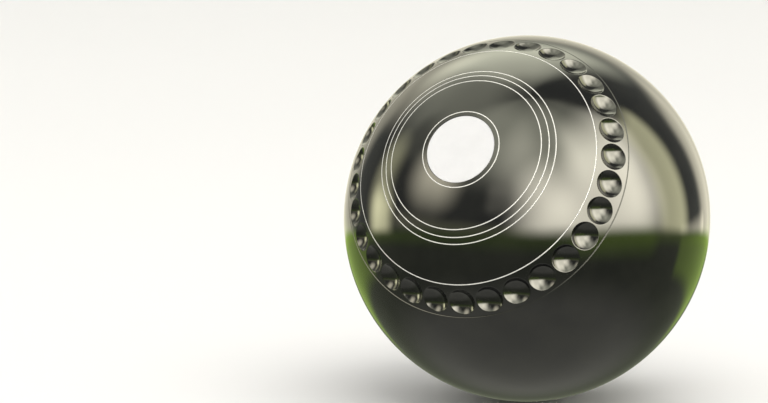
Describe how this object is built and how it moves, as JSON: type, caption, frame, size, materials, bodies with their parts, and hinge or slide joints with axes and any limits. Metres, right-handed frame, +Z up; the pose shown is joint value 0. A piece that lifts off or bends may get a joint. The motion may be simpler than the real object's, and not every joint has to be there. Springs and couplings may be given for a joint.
{
  "type": "lawn bowl",
  "caption": "Black resin lawn bowl with inlaid white side discs, fine white trim rings and a circle of shallow grip cups on each side.",
  "frame": {"origin": "on the ground below the middle of the bowl's bounding box, where the bowl stands", "axes": "+Z up from the ground. The bowl's own axis of revolution lies in the YZ plane: its small-disc (bias) side faces -Y and looks up by 30 degrees. +X runs along a diameter of the running surface, which is the widest extent"},
  "size_m": [0.124, 0.1224, 0.1235],
  "materials": {
    "resin": "polished black phenolic resin",
    "laminate": "satin white laminate",
    "enamel": "white enamel wiped into the engraved rings",
    "adhesive": "cured amber adhesive film"
  },
  "bodies": {
    "root": {"bowl_body": "resin", "bias_disc": "laminate", "bias_disc_adhesive": "adhesive", "bias_disc_ring_enamel": "enamel", "bias_inner_ring_enamel": "enamel", "bias_middle_ring_enamel": "enamel", "bias_outer_ring_enamel": "enamel", "bias_grip_ring_enamel": "enamel", "plain_disc": "laminate", "plain_disc_adhesive": "adhesive", "plain_disc_ring_enamel": "enamel", "plain_inner_ring_enamel": "enamel", "plain_middle_ring_enamel": "enamel", "plain_outer_ring_enamel": "enamel", "plain_grip_ring_enamel": "enamel"}
  },
  "joints": []
}
